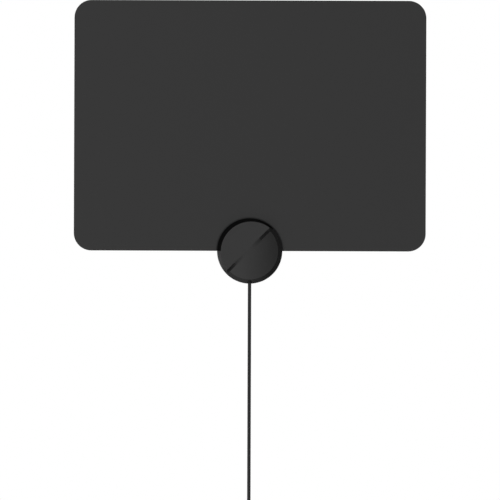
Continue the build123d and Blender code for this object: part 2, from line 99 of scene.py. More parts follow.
points_per_turn = 16
turns_per_row = 5
rows = 4
rear_row = coil_centre[1] + (rows - 1) / 2 * cable_diameter
step_angle = 2 * math.pi / points_per_turn
curve_inset = math.cos(step_angle / 2)
steps_per_row = points_per_turn * turns_per_row
change_steps = 4


def on_coil(step, radius, depth):
    """A point of the coil: it runs clockwise for the viewer, from where the cable joins it."""
    angle = coil_entry - step * step_angle
    return (radius * math.cos(angle), depth, coil_centre[2] + radius * math.sin(angle))


route = [cable_start, (0, cable_depth, bend[2] + bend_run), bend]
for row in range(rows):
    row_depth = rear_row - row * cable_diameter
    for step in range(steps_per_row):
        share = step / steps_per_row
        if row % 2:
            share = 1 - share
        radius = (coil_outer + (coil_inner - coil_outer) * share) / curve_inset
        # A row starts at the depth of the row before it, and is at its own after a few steps
        late = max(0, 1 - step / change_steps) if row else 0
        route.append(on_coil(row * steps_per_row + step, radius, row_depth + late * cable_diameter))
route.append(on_coil(0, coil_outer / curve_inset, row_depth))
route.append(on_coil(1, coil_outer / curve_inset, row_depth))
route.append((coil_outer, row_depth, coil_centre[2]))
route.append((coil_outer, row_depth, plug_top))
print("cable points:", len(route))

# %% Cable: curve
curve_order = 3
curve_steps = 8
round_steps = 5

line = bpy.data.curves.new("coaxial_cable", "CURVE")
line.dimensions = "3D"
spline = line.splines.new("NURBS")
spline.points.add(len(route) - 1)
for point, place in zip(spline.points, route):
    point.co = (*place, 1)
spline.order_u = curve_order
spline.use_endpoint_u = True
spline.resolution_u = curve_steps
line.bevel_depth = cable_diameter / 2
line.bevel_resolution = round_steps
line.use_fill_caps = True
cable = bpy.data.objects.new("coaxial_cable", line)
bpy.context.scene.collection.objects.link(cable)
print("cable length", round(spline.calc_length(), 3), "m")

# %% [markdown]
# ## The twist tie
# The coil is held by a twist tie: a flat plastic ribbon with a wire in it, wrapped once round all the
# turns, with its two ends twisted together. A rectangle without its face, with its corners rounded by a
# vertex bevel, is the ribbon's path round the turns. Extruding those edges makes the ribbon, and Solidify
# gives it a thickness. The twisted ends are a bar cut into a fine grid, which a Simple Deform modifier
# turns about its own axis. Operators act on what is selected, so a small function selects the two pieces
# before they are joined.

# %% Twist tie: ribbon
tie_angle = math.radians(22)
tie_middle = 22.0 * MM
tie_inside = (20.8 * MM, 14.2 * MM)
tie_corner = 3.0 * MM
corner_steps = 6
ribbon_width = 4.0 * MM
ribbon_thickness = 0.5 * MM

bpy.ops.object.select_all(action="DESELECT")
bpy.ops.mesh.primitive_plane_add(size=1)
tie = bpy.context.object
tie.name = "twist_tie"
tie.scale = (*tie_inside, 1)
bpy.ops.object.transform_apply(location=False, rotation=False, scale=True)
bpy.ops.object.mode_set(mode="EDIT")
bpy.ops.mesh.select_all(action="SELECT")
bpy.ops.mesh.delete(type="ONLY_FACE")
bpy.ops.mesh.select_all(action="SELECT")
bpy.ops.mesh.bevel(offset=tie_corner, affect="VERTICES", segments=corner_steps)
bpy.ops.mesh.select_all(action="SELECT")
bpy.ops.mesh.extrude_edges_move(TRANSFORM_OT_translate={"value": (0, 0, ribbon_width)})
bpy.ops.mesh.select_all(action="SELECT")
bpy.ops.transform.translate(value=(0, 0, -ribbon_width / 2))
bpy.ops.mesh.normals_make_consistent(inside=False)
bpy.ops.object.mode_set(mode="OBJECT")
wall = tie.modifiers.new("thickness", "SOLIDIFY")
wall.thickness = ribbon_thickness
wall.offset = 1
bpy.ops.object.modifier_apply(modifier=wall.name)
print("ribbon", [round(x / MM, 2) for x in tie.dimensions], "mm")

# %% Twist tie: twisted ends
twist_length = 9.0 * MM
twist_size = (1.0 * MM, 3.2 * MM)
twist_turns = 1.5
twist_cuts = 30

bpy.ops.object.select_all(action="DESELECT")
bpy.ops.mesh.primitive_cube_add(size=1)
ends = bpy.context.object
ends.scale = (twist_length, *twist_size)
bpy.ops.object.transform_apply(location=False, rotation=False, scale=True)
bpy.ops.object.mode_set(mode="EDIT")
bpy.ops.mesh.select_all(action="SELECT")
bpy.ops.mesh.subdivide(number_cuts=twist_cuts)
bpy.ops.object.mode_set(mode="OBJECT")
twist = ends.modifiers.new("twist", "SIMPLE_DEFORM")
twist.deform_method = "TWIST"
twist.deform_axis = "X"
twist.angle = twist_turns * 2 * math.pi
bpy.ops.object.modifier_apply(modifier=twist.name)
ends.location.x = tie_inside[0] / 2 + twist_length / 2
bpy.ops.object.transform_apply(location=True, rotation=False, scale=False)
print("twisted ends:", len(ends.data.polygons), "faces")

# %% Twist tie: joined and put in place
tie_crease = math.radians(35)


def choose(*pieces):
    """Selects these pieces alone, and makes the first of them the active one."""
    bpy.ops.object.select_all(action="DESELECT")
    for piece in pieces:
        piece.select_set(True)
    bpy.context.view_layer.objects.active = pieces[0]


choose(tie, ends)
bpy.ops.object.join()
tie.location = (
    tie_middle * math.cos(tie_angle),
    coil_centre[1],
    coil_centre[2] + tie_middle * math.sin(tie_angle),
)
tie.rotation_euler = (0, -tie_angle, 0)
bpy.ops.object.transform_apply(location=True, rotation=True, scale=True)
bpy.ops.object.shade_smooth_by_angle(angle=tie_crease)
tie_box = [Vector(corner) for corner in tie.bound_box]
tie_centre = sum(tie_box, Vector()) / len(tie_box)
print("tie at", [round(x / MM, 1) for x in tie_centre], "mm")

# %% [markdown]
# ## The pod's front
# The front of the pod is one moulding: a flat half and a domed half that meet along a slanting seam,
# inside a rim. The CAD solid has its true form, but as loose triangles, some of them long, which a satin
# plastic would show as facets. So a copy is made and its triangles are joined by merging doubles. The
# dome is part of a wide sphere, and the ramp along the seam runs straight from the flat half's edge down
# to it. Both are cut into a fine grid, and the points of the cuts are lifted onto those forms. In edit
# mode a cut goes through what is selected, so their faces are selected in code, by place and lean. Last,
# the copy is shaded smooth wherever two faces meet at a low angle, and creases such as the seam's edge
# stay sharp. Weighted normals let the large faces decide the shading, so that the flat half stays flat up
# to its rounded edge.

# %% Pod front: joined copy of the CAD node
merge_within = 0.002 * MM

pod_front = bpy.data.objects.new("pod_front", nodes["front_cover"].data.copy())
bpy.context.scene.collection.objects.link(pod_front)
choose(pod_front)
bpy.ops.mesh.customdata_custom_splitnormals_clear()
bpy.ops.object.mode_set(mode="EDIT")
bpy.ops.mesh.select_mode(type="VERT")
bpy.ops.mesh.select_all(action="SELECT")
bpy.ops.mesh.remove_doubles(threshold=merge_within)
bpy.ops.object.mode_set(mode="OBJECT")
print("pod front:", len(pod_front.data.vertices), "points", len(pod_front.data.polygons), "faces")

# %% Pod front: forms of the dome and the ramp
face_top = -12.9 * MM
crown_radius = 110.0 * MM
crown_shift = -1.0 * MM
seam_start = 2.4 * MM
seam_end = 0.5 * MM
slant = math.sqrt(0.5)
along_seam = Vector((slant, 0, slant))
across_seam = Vector((slant, 0, -slant))
crown_centre = crown_shift * along_seam - seam_start * across_seam


def crown_depth(place):
    """How deep the dome's surface lies at a point of the pod's face."""
    off = (place.x - crown_centre.x) ** 2 + (place.z - crown_centre.z) ** 2
    return face_top + crown_radius - math.sqrt(crown_radius**2 - off)


def form_depth(place):
    """How deep the moulded surface lies past the flat half: down the ramp, and then on the dome."""
    across = place.dot(across_seam)
    if across >= seam_end:
        return crown_depth(place)
    foot = crown_depth(place + (seam_end - across) * across_seam)
    return face_top + (foot - face_top) * (across + seam_start) / (seam_start + seam_end)


centre_fall = form_depth(seam_end * across_seam) - face_top
print("ramp falls", round(centre_fall / MM, 3), "mm in the middle")

# %% Pod front: which faces they are, and how to select them
at_line = 0.01 * MM
# How near to its form a face has to be, and how far it may lean
dome_rule = (0.12 * MM, math.cos(math.radians(22)))
ramp_rule = (0.2 * MM, math.cos(math.radians(64)))


def curved_faces():
    """Faces of the ramp and the dome, found by their place and lean."""
    points = pod_front.data.vertices
    across = [point.co.dot(across_seam) for point in points]
    off = [abs(point.co.y - form_depth(point.co)) for point in points]
    for face in pod_front.data.polygons:
        on_dome = all(across[i] > seam_end - at_line for i in face.vertices)
        on_ramp = all(-seam_start - at_line < across[i] < seam_end + at_line for i in face.vertices)
        nearness, least_facing = dome_rule if on_dome else ramp_rule
        near = all(off[i] < nearness for i in face.vertices)
        if (on_dome or on_ramp) and near and -face.normal.y > least_facing:
            yield face


def edit_only(piece, kind, chosen):
    """Enters edit mode on the active piece, with only the chosen edges or faces selected."""
    bpy.context.tool_settings.mesh_select_mode = [kind == each for each in ("VERT", "EDGE", "FACE")]
    mesh = piece.data
    for item in (*mesh.vertices, *mesh.edges, *mesh.polygons):
        item.select = False
    for item in chosen:
        item.select = True
    bpy.ops.object.mode_set(mode="EDIT")


print("ramp and dome:", len(list(curved_faces())), "faces before the cuts")

# %% Pod front: finer dome and ramp
cut_spacing = 3.0 * MM
cut_reach = 10
ramp_rows = 4
crease = math.radians(28)

cuts = [(along_seam, step * cut_spacing) for step in range(-cut_reach, cut_reach + 1)]
cuts += [(across_seam, step * cut_spacing) for step in range(1, cut_reach + 1)]
ramp_width = seam_start + seam_end
cuts += [(across_seam, ramp_width * row / ramp_rows - seam_start) for row in range(1, ramp_rows)]
for direction, distance in cuts:
    edit_only(pod_front, "FACE", curved_faces())
    bpy.ops.mesh.bisect(plane_co=direction * distance, plane_no=direction)
    bpy.ops.object.mode_set(mode="OBJECT")
curved_points = {i for face in curved_faces() for i in face.vertices}
for i in curved_points:
    point = pod_front.data.vertices[i]
    point.co.y = form_depth(point.co)
bpy.ops.object.shade_smooth_by_angle(angle=crease)
even = pod_front.modifiers.new("even", "WEIGHTED_NORMAL")
even.keep_sharp = True
bpy.ops.object.modifier_apply(modifier=even.name)
print("ramp and dome:", len(curved_points), "points on their forms")

# %% [markdown]
# ## The plug's nut
# An F plug is screwed on by a captive hexagon nut of nickel-plated brass, bored and threaded on a lathe
# from bar. It is made here in the same order: a six-sided prism is the bar, a Boolean intersection with a
# turned form takes the corners off both ends, two Boolean cuts bore it, and a small triangle that a Screw
# modifier winds up the bore is the thread. The CAD model has a plain bore as wide as the thread's crests.

# %% Nut: bar with its corners turned off
nut_place = (30.25 * MM, -12.35 * MM, -370.33 * MM)
nut_flats = 11.0 * MM
nut_length = 10.0 * MM
nut_sides = 6
nut_corner = 6.1 * MM
corner_chamfer = 0.7 * MM
chamfer_steps = 2
turned_sides = 96

bpy.ops.object.select_all(action="DESELECT")
bpy.ops.mesh.primitive_cylinder_add(
    vertices=nut_sides,
    radius=nut_flats / 2 / math.cos(math.pi / nut_sides),
    depth=nut_length,
    rotation=(0, 0, QUARTER_TURN),
)
nut = bpy.context.object
nut.name = "threaded_nut"
bpy.ops.object.transform_apply(location=False, rotation=True, scale=True)
bpy.ops.mesh.primitive_cylinder_add(vertices=turned_sides, radius=nut_corner, depth=nut_length)
turned = bpy.context.object
end_edges = []
for edge in turned.data.edges:
    middle = sum(turned.data.vertices[i].co.z for i in edge.vertices) / len(edge.vertices)
    # The rings at both ends are far from the middle of the bar, and the edges between them cross it
    if abs(middle) > nut_length / 4:
        end_edges.append(edge)
edit_only(turned, "EDGE", end_edges)
bpy.ops.mesh.bevel(offset=corner_chamfer, segments=chamfer_steps)
bpy.ops.object.mode_set(mode="OBJECT")
print("turned form:", len(turned.data.polygons), "faces")

# %% Nut: bored out
neck_hole = 3.55 * MM
thread_root = 4.74 * MM
lip = 1.6 * MM
past = 1.0 * MM
bore_sides = 72

bpy.ops.mesh.primitive_cylinder_add(vertices=bore_sides, radius=neck_hole, depth=nut_length + 2 * past)
neck_cutter = bpy.context.object
bpy.ops.mesh.primitive_cylinder_add(
    vertices=bore_sides, radius=thread_root, depth=nut_length, location=(0, 0, -lip)
)
thread_cutter = bpy.context.object
choose(nut)
for cutter, how in (
    (turned, "INTERSECT"),
    (neck_cutter, "DIFFERENCE"),
    (thread_cutter, "DIFFERENCE"),
):
    cut = nut.modifiers.new("cut", "BOOLEAN")
    cut.object = cutter
    cut.operation = how
    cut.solver = "EXACT"
    bpy.ops.object.modifier_apply(modifier=cut.name)
    bpy.data.objects.remove(cutter)
print("nut:", len(nut.data.polygons), "faces", [round(x / MM, 2) for x in nut.dimensions], "mm")

# %% Nut: thread
thread_crest = 4.35 * MM
pitch = 0.794 * MM
thread_turns = 9
thread_start = -4.5 * MM
thread_steps = 36
sink = 0.05 * MM

half = pitch / 2
profile = ((thread_root + sink, -half), (thread_crest, 0), (thread_root + sink, half))
bpy.ops.object.select_all(action="DESELECT")
bpy.ops.mesh.primitive_circle_add(vertices=len(profile), radius=pitch, fill_type="NOTHING")
thread = bpy.context.object
for point, (out, up) in zip(thread.data.vertices, profile):
    point.co = (out, 0, thread_start + up)
wind = thread.modifiers.new("wind", "SCREW")
wind.axis = "Z"
wind.screw_offset = pitch
wind.iterations = thread_turns
wind.steps = wind.render_steps = thread_steps
bpy.ops.object.modifier_apply(modifier=wind.name)
bpy.ops.object.mode_set(mode="EDIT")
bpy.ops.mesh.select_mode(type="VERT")
bpy.ops.mesh.select_all(action="SELECT")
bpy.ops.mesh.fill_holes(sides=len(profile))
bpy.ops.mesh.select_all(action="SELECT")
bpy.ops.mesh.normals_make_consistent(inside=False)
bpy.ops.object.mode_set(mode="OBJECT")
choose(nut, thread)
bpy.ops.object.join()
nut.location = nut_place
bpy.ops.object.transform_apply(location=True, rotation=True, scale=True)
bpy.ops.object.shade_smooth_by_angle(angle=crease)
print("threaded nut:", len(nut.data.polygons), "faces")

# %% [markdown]
# ## Building finishes
# Every finish below is a small tree of nodes round a Principled BSDF. One function turns an sRGB hex
# colour, as a colour picker shows it, into the linear light that Blender works in. Another adds a node
# with its settings, its fixed values and its links. Patterns read Object coordinates, which are metres
# here, so a grain of a given size in millimetres needs a texture scale of one over that size.

# %% Colours
def linear(hex_colour):
    """Linear RGBA of an sRGB hex colour, by the curve of the sRGB standard."""
    parts = [int(hex_colour[i : i + 2], 16) / 255 for i in (1, 3, 5)]
    return (*(p / 12.92 if p <= 0.04045 else ((p + 0.055) / 1.055) ** 2.4 for p in parts), 1)


print("half grey in linear light:", [round(x, 3) for x in linear("#808080")])


# %% Nodes
def add_node(tree, kind, values=None, links=None, **settings):
    """Adds a node, sets it, gives its sockets fixed values and links others to it."""
    node = tree.nodes.new(kind)
    for name, value in settings.items():
        setattr(node, name, value)
    for socket, value in (values or {}).items():
        node.inputs[socket].default_value = value
    for socket, source in (links or {}).items():
        tree.links.new(source, node.inputs[socket])
    return node


# How many layers of ever finer noise a pattern has
WAVES, GRAIN, PATCHES = 1.0, 2.0, 3.0
# A wave texture of scale 1 repeats after this much of its coordinate
WAVE_REPEAT = 2 * math.pi / 20
print("noise layers:", WAVES, GRAIN, PATCHES)


# %% Finishes
def new_finish(name, ior=1.5, metallic=0.0):
    """An empty finish: its material, its tree, its shader and a source of Object coordinates."""
    material = bpy.data.materials.new(name)
    material.use_nodes = True
    tree = material.node_tree
    shader = tree.nodes["Principled BSDF"]
    shader.inputs["IOR"].default_value = ior
    shader.inputs["Metallic"].default_value = metallic
    place = add_node(tree, "ShaderNodeTexCoord").outputs["Object"]
    return material, tree, shader, place


def finish_surface(tree, shader, pattern, colours, roughness, depth):
    """Lets a pattern of 0 to 1 blend two colours, vary the roughness, and raise the surface."""
    tint = add_node(
        tree,
        "ShaderNodeMix",
        {"A": linear(colours[0]), "B": linear(colours[1])},
        {"Factor": pattern},
        data_type="RGBA",
    )
    gloss = add_node(
        tree, "ShaderNodeMapRange", {"To Min": roughness[0], "To Max": roughness[1]}, {"Value": pattern}
    )
    bump = add_node(tree, "ShaderNodeBump", {"Distance": depth}, {"Height": pattern})
    tree.links.new(tint.outputs["Result"], shader.inputs["Base Color"])
    tree.links.new(gloss.outputs["Result"], shader.inputs["Roughness"])
    tree.links.new(bump.outputs["Normal"], shader.inputs["Normal"])
    return tint, gloss


def wear(finish, *pieces):
    """Gives pieces a finish all over."""
    for piece in pieces:
        piece.data.materials.clear()
        piece.data.materials.append(finish)
    print(finish.name, "on", [piece.name for piece in pieces])


print("finishes so far:", [material.name for material in bpy.data.materials])

# %% [markdown]
# ## Black film
# The sheet is two layers of soft PVC film, laminated over the foil. Film is rolled between matt calender
# rollers, so its surface is even, with a fine grain that breaks up reflections: it looks dark grey rather
# than black. Fine noise gives that grain. The real grain, near a twentieth of a millimetre, is too fine to
# show, so it is drawn at 0.4 mm. Round the pod there is a narrow gap under the rim that light hardly
# reaches, and painted shade darkens the sheet's colour there.

# %% Painted shade in the gap round the pod
gap_radius = 31.2 * MM
gap_dark_within = 0.5 * MM
gap_clear_beyond = 1.4 * MM
gap_painted_shade = 0.05


def paint_shade_in_gap(tree, shader, tint, place):
    """Paints shade into a finish's colour at the pod's rim, by how far it is from the gap."""
    # Without its depth, a place's length is its distance from the pod's axis
    no_depth = (1, 0, 1)
    flat_place = add_node(tree, "ShaderNodeVectorMath", {1: no_depth}, {0: place}, operation="MULTIPLY")
    from_axis = add_node(
        tree, "ShaderNodeVectorMath", links={0: flat_place.outputs["Vector"]}, operation="LENGTH"
    )
    past_gap = add_node(
        tree, "ShaderNodeMath", {1: gap_radius}, {0: from_axis.outputs["Value"]}, operation="SUBTRACT"
    )
    from_gap = add_node(tree, "ShaderNodeMath", links={0: past_gap.outputs["Value"]}, operation="ABSOLUTE")
    open_light = add_node(
        tree,
        "ShaderNodeMapRange",
        {"From Min": gap_dark_within, "From Max": gap_clear_beyond, "To Min": gap_painted_shade},
        {"Value": from_gap.outputs["Value"]},
        interpolation_type="SMOOTHSTEP",
    )
    shaded = add_node(
        tree,
        "ShaderNodeMix",
        {"Factor": 1.0},
        {"A": tint.outputs["Result"], "B": open_light.outputs["Result"]},
        data_type="RGBA",
        blend_type="MULTIPLY",
    )
    tree.links.new(shaded.outputs["Result"], shader.inputs["Base Color"])


print("gap at", round(gap_radius / MM, 1), "mm from the pod's axis")

# %% Finish: calendered PVC film
film_grain = 0.4 * MM
film_relief = 0.004 * MM
film_greys = ("#1f1f1f", "#242424")
film_roughness = (0.36, 0.46)

film, tree, shader, place = new_finish("calendered_pvc_film")
grain = add_node(tree, "ShaderNodeTexNoise", {"Scale": 1 / film_grain, "Detail": GRAIN}, {"Vector": place})
tint, _ = finish_surface(tree, shader, grain.outputs["Fac"], film_greys, film_roughness, film_relief)
# Painted shade: the film's colour is darkened in the gap round the pod
paint_shade_in_gap(tree, shader, tint, place)
wear(film, nodes["front_film"], nodes["back_film"])

# %% [markdown]
# ## Moulded ABS
# Both covers of the pod are black ABS. The tool that moulds the front is satin on the face and polished on
# the rim and on the ramp along the seam, so the face is a soft dark grey while the rim mirrors what stands
# beside it. The rim's steep wall is also coloured near black, far darker than the same plastic on the face:
# that is painted shade, for the steep rim where it stands next to the sheet. The polished parts are found by
# how far they lean away from the viewer: bevels lean less than walls do. The ramp's steep ends shine less,
# so that the white backdrop doesn't glint in them.
# On the wall the polish fades towards the seam, since a polisher's felt can't reach into the corner
# there. The rear cover comes from a spark-eroded tool, whose pebbled texture of about half a millimetre
# hides marks. Voronoi cells that are rounded off by a smooth distance look like those pebbles.

# %% Finish: satin ABS face
face_grain = 0.35 * MM
face_relief = 0.002 * MM
face_greys = ("#1f1f1f", "#242424")
face_roughness = (0.26, 0.34)

face_abs, tree, shader, place = new_finish("satin_abs_face")
grain = add_node(tree, "ShaderNodeTexNoise", {"Scale": 1 / face_grain, "Detail": GRAIN}, {"Vector": place})
finish_surface(tree, shader, grain.outputs["Fac"], face_greys, face_roughness, face_relief)
wear(face_abs, pod_front)

# %% Finish: polished ABS bevel and step
polish_waviness = 4.0 * MM
polish_relief = 0.002 * MM


def polish_pod(name, greys, roughness, shine):
    """Makes a polished finish with faint, slow waves, the next of the pod front's materials."""
    polished, tree, shader, place = new_finish(name)
    shader.inputs["Specular IOR Level"].default_value = shine
    waves = add_node(
        tree, "ShaderNodeTexNoise", {"Scale": 1 / polish_waviness, "Detail": WAVES}, {"Vector": place}
    )
    _, gloss = finish_surface(tree, shader, waves.outputs["Fac"], greys, roughness, polish_relief)
    pod_front.data.materials.append(polished)
    return tree, shader, place, gloss


polish_pod("polished_abs_bevel", ("#181818", "#1c1c1c"), roughness=(0.17, 0.21), shine=0.5)
polish_pod("polished_abs_step", ("#1a1a1a", "#1e1e1e"), roughness=(0.17, 0.21), shine=0.1)
print([material.name for material in pod_front.data.materials])

# %% Finish: polished ABS wall with painted shade, duller towards the seam
fade_start = -20.0 * MM
fade_dulling = 0.45

# Painted shade: the wall's near-black colour stands for the shade where the steep rim meets the sheet; its
# mirroring is real
tree, shader, place, gloss = polish_pod(
    "polished_abs_wall_painted_shade", ("#060606", "#090909"), roughness=(0.1, 0.14), shine=0.032
)
to_seam = add_node(tree, "ShaderNodeVectorMath", {1: across_seam}, {0: place}, operation="DOT_PRODUCT")
fading = add_node(
    tree,
    "ShaderNodeMapRange",
    {"From Min": fade_start, "From Max": 0.0, "To Max": fade_dulling},
    {"Value": to_seam.outputs["Value"]},
)
dulled = add_node(
    tree, "ShaderNodeMath", links={0: gloss.outputs["Result"], 1: fading.outputs["Result"]}, operation="ADD"
)
tree.links.new(dulled.outputs["Value"], shader.inputs["Roughness"])
print("wall polish fades over", round(-fade_start / MM, 1), "mm")

# %% Pod front: where it is polished
bevel_lean = math.cos(math.radians(22))
wall_lean = math.cos(math.radians(64))
rim_foot = -4.2 * MM
# The ramp is polished past the cuts 15 mm up the seam and 18 mm down it, and steep 9 mm further on
ramp_middle = -1.5 * MM
ramp_satin_reach = 16.5 * MM
ramp_steep_reach = 25.5 * MM
FACE, BEVEL, STEP, WALL = 0, 1, 2, 3

for face in pod_front.data.polygons:
    facing = -face.normal.y
    on_ramp = -seam_start < face.center.dot(across_seam) < seam_end
    from_middle = abs(face.center.dot(along_seam) - ramp_middle)
    polished = from_middle > ramp_satin_reach if on_ramp else facing < bevel_lean
    # Steep faces and faces near the foot get the wall's painted shade
    if facing < wall_lean or face.center.y > rim_foot:
        face.material_index = WALL
    elif on_ramp and from_middle > ramp_steep_reach:
        face.material_index = STEP
    elif polished:
        face.material_index = BEVEL
polished_faces = sum(face.material_index != FACE for face in pod_front.data.polygons)
print("polished faces:", polished_faces, "of", len(pod_front.data.polygons))

# %% Finish: spark-eroded ABS back
pebble = 0.6 * MM
pebble_relief = 0.03 * MM
pebble_rounding = 0.6
pebble_greys = ("#1e1e1e", "#181818")
pebble_roughness = (0.4, 0.55)

back_abs, tree, shader, place = new_finish("spark_eroded_abs")
pebbles = add_node(
    tree,
    "ShaderNodeTexVoronoi",
    {"Scale": 1 / pebble, "Smoothness": pebble_rounding},
    {"Vector": place},
    feature="SMOOTH_F1",
)
finish_surface(tree, shader, pebbles.outputs["Distance"], pebble_greys, pebble_roughness, pebble_relief)
wear(back_abs, nodes["back_cover"])

# %% [markdown]
# ## Soft PVC and rubber
# The cable's jacket is extruded: melted PVC leaves a die round the moving core, so its marks are faint lines
# along the cable with a satin gloss. The plug's boot and the tie's ribbon are soft PVC too, and the bush in
# the pod is rubber, the dullest of them. The bush's near-black colour is partly its own and partly painted
# shade, for the notch where the cable leaves the pod. Each is a noise at the size of its own marks,
# stretched where the marks have a direction: a scale below 1 on an axis draws the pattern out along it.

# %% Finish: jacket, boot, ribbon and bush
soft_relief = 0.006 * MM

for name, colours, roughness, ior, mark, stretch, pieces in (
    ("extruded_pvc_jacket", ("#202020", "#252525"), (0.5, 0.6), 1.4, 0.6, (1, 1, 0.05), (cable,)),
    ("moulded_pvc_boot", ("#171717", "#1c1c1c"), (0.42, 0.52), 1.5, 0.5, (1, 1, 1), (nodes["plug_boot"],)),
    ("pvc_ribbon", ("#131313", "#181818"), (0.35, 0.45), 1.5, 0.8, (0.1, 1, 0.1), (tie,)),
    # Painted shade: the bush is partly black rubber and partly painted shade for the cable's exit notch
    ("black_rubber_and_painted_shade", ("#060606", "#0a0a0a"), (0.6, 0.75), 1.4, 0.4, (1, 1, 1), (nodes["cable_bush"],)),
):
    soft, tree, shader, place = new_finish(name, ior=ior)
    drawn = add_node(tree, "ShaderNodeMapping", {"Scale": stretch}, {"Vector": place})
    marks = add_node(
        tree,
        "ShaderNodeTexNoise",
        {"Scale": 1 / (mark * MM), "Detail": GRAIN},
        {"Vector": drawn.outputs["Vector"]},
    )
    finish_surface(tree, shader, marks.outputs["Fac"], colours, roughness, soft_relief)
    wear(soft, *pieces)

# %% [markdown]
# ## Turned and plated metal
# The plug's body and nut are brass, turned on a lathe and plated with nickel, which is a warm silver.
# Turning leaves rings round the axis. The real feed marks are near a tenth of a millimetre, too fine to
# show, so they are drawn at 0.3 mm: bands along Z, bent slightly by distortion so that they don't look
# ruled. The screws are steel with a black zinc coating, which is dark, and dull in patches. Metals keep
# the default IOR.

# %% Finish: nickel-plated brass
feed_mark = 0.3 * MM
feed_relief = 0.002 * MM
feed_waver = 0.4
nickel_silvers = ("#b9b4aa", "#c9c4ba")
nickel_roughness = (0.18, 0.28)

nickel, tree, shader, place = new_finish("nickel_plated_brass", metallic=1.0)
rings = add_node(
    tree,
    "ShaderNodeTexWave",
    {"Scale": WAVE_REPEAT / feed_mark, "Distortion": feed_waver, "Detail": WAVES},
    {"Vector": place},
    wave_type="BANDS",
    bands_direction="Z",
)
finish_surface(tree, shader, rings.outputs["Fac"], nickel_silvers, nickel_roughness, feed_relief)
wear(nickel, nut, nodes["plug_body"])

# %% Finish: black zinc on steel
coat_patch = 0.8 * MM
coat_relief = 0.003 * MM
zinc_greys = ("#2b2b2d", "#3a3a3d")
zinc_roughness = (0.3, 0.5)

black_zinc, tree, shader, place = new_finish("black_zinc_on_steel", metallic=1.0)
patches = add_node(
    tree, "ShaderNodeTexNoise", {"Scale": 1 / coat_patch, "Detail": PATCHES}, {"Vector": place}
)
finish_surface(tree, shader, patches.outputs["Fac"], zinc_greys, zinc_roughness, coat_relief)
wear(black_zinc, nodes["cover_screws"])

# %% [markdown]
# ## Inside the sheet and the pod
# These pieces are covered on the finished antenna and show only when it is taken apart. Rolled aluminium
# foil has streaks along the rolling direction. The board is glass cloth in resin under a green mask, so a
# plain weave shows faintly: two sets of bands at right angles, multiplied. Ferrite is sintered and
# speckled. Enamelled wire is copper under a clear coat. Chips are fired ceramic. Brass eyelets and solder
# are bright metals with soft, uneven gloss.

# %% Finish: rolled foil
roll_mark = 1.5 * MM
roll_relief = 0.002 * MM
roll_stretch = (0.03, 1, 1)
foil_silvers = ("#c4c6c8", "#d6d8da")
foil_roughness = (0.25, 0.4)

foil, tree, shader, place = new_finish("rolled_aluminium_foil", metallic=1.0)
drawn = add_node(tree, "ShaderNodeMapping", {"Scale": roll_stretch}, {"Vector": place})
streaks = add_node(
    tree,
    "ShaderNodeTexNoise",
    {"Scale": 1 / roll_mark, "Detail": PATCHES},
    {"Vector": drawn.outputs["Vector"]},
)
tint, _ = finish_surface(tree, shader, streaks.outputs["Fac"], foil_silvers, foil_roughness, roll_relief)
# Painted shade: the foil's colour is darkened in the gap at the pod's rim, as the film's is
paint_shade_in_gap(tree, shader, tint, place)
wear(foil, nodes["element_left"], nodes["element_right"])

# %% Finish: masked circuit board
thread_spacing = 0.5 * MM
weave_relief = 0.01 * MM
mask_greens = ("#17492c", "#1f5a37")
mask_roughness = (0.25, 0.35)

board, tree, shader, place = new_finish("solder_masked_glass_board")
warp, weft = (
    add_node(
        tree,
        "ShaderNodeTexWave",
        {"Scale": WAVE_REPEAT / thread_spacing},
        {"Vector": place},
        bands_direction=axis,
    ).outputs["Fac"]
    for axis in ("X", "Z")
)
weave = add_node(tree, "ShaderNodeMath", links={0: warp, 1: weft}, operation="MULTIPLY")
finish_surface(tree, shader, weave.outputs["Value"], mask_greens, mask_roughness, weave_relief)
wear(board, nodes["circuit_board"])

# %% Finish: speckled and plain insides
small_relief = 0.005 * MM
insulators = ("plug_insulator", "cable_dielectric")
conductors = ("cable_conductor", "plug_pin")

for name, colours, roughness, metallic, speck, pieces in (
    ("sintered_ferrite", ("#2c2b2d", "#3d3b3e"), (0.55, 0.75), 0.0, 0.25, ("balun_core",)),
    ("fired_ceramic", ("#b59b78", "#c4ab89"), (0.35, 0.5), 0.0, 0.3, ("chip_parts",)),
    ("moulded_nylon", ("#d9d6cc", "#e2dfd6"), (0.35, 0.45), 0.0, 0.6, ("strain_tie",)),
    ("white_polyethylene", ("#e4e2dc", "#ecebe6"), (0.4, 0.5), 0.0, 0.5, insulators),
    ("pressed_brass", ("#c9a660", "#d7b672"), (0.2, 0.35), 1.0, 0.5, ("feed_rivets",)),
    ("tin_solder", ("#b4b6b9", "#cfd1d3"), (0.15, 0.35), 1.0, 0.7, ("solder_joints",)),
    ("drawn_copper", ("#c8805a", "#d8936c"), (0.18, 0.3), 1.0, 0.3, conductors),
):
    inside, tree, shader, place = new_finish(name, metallic=metallic)
    specks = add_node(
        tree, "ShaderNodeTexNoise", {"Scale": 1 / (speck * MM), "Detail": PATCHES}, {"Vector": place}
    )
    finish_surface(tree, shader, specks.outputs["Fac"], colours, roughness, small_relief)
    wear(inside, *(nodes[piece] for piece in pieces))

# %% Finish: enamelled wire
enamel_patch = 0.4 * MM
enamel_browns = ("#8e4a26", "#a8602f")
enamel_roughness = (0.25, 0.35)
enamel_coat = 1.0
enamel_coat_roughness = 0.1

enamelled, tree, shader, place = new_finish("enamelled_copper", metallic=1.0)
patches = add_node(
    tree, "ShaderNodeTexNoise", {"Scale": 1 / enamel_patch, "Detail": GRAIN}, {"Vector": place}
)
finish_surface(tree, shader, patches.outputs["Fac"], enamel_browns, enamel_roughness, small_relief)
shader.inputs["Coat Weight"].default_value = enamel_coat
shader.inputs["Coat Roughness"].default_value = enamel_coat_roughness
wear(enamelled, nodes["balun_winding"])

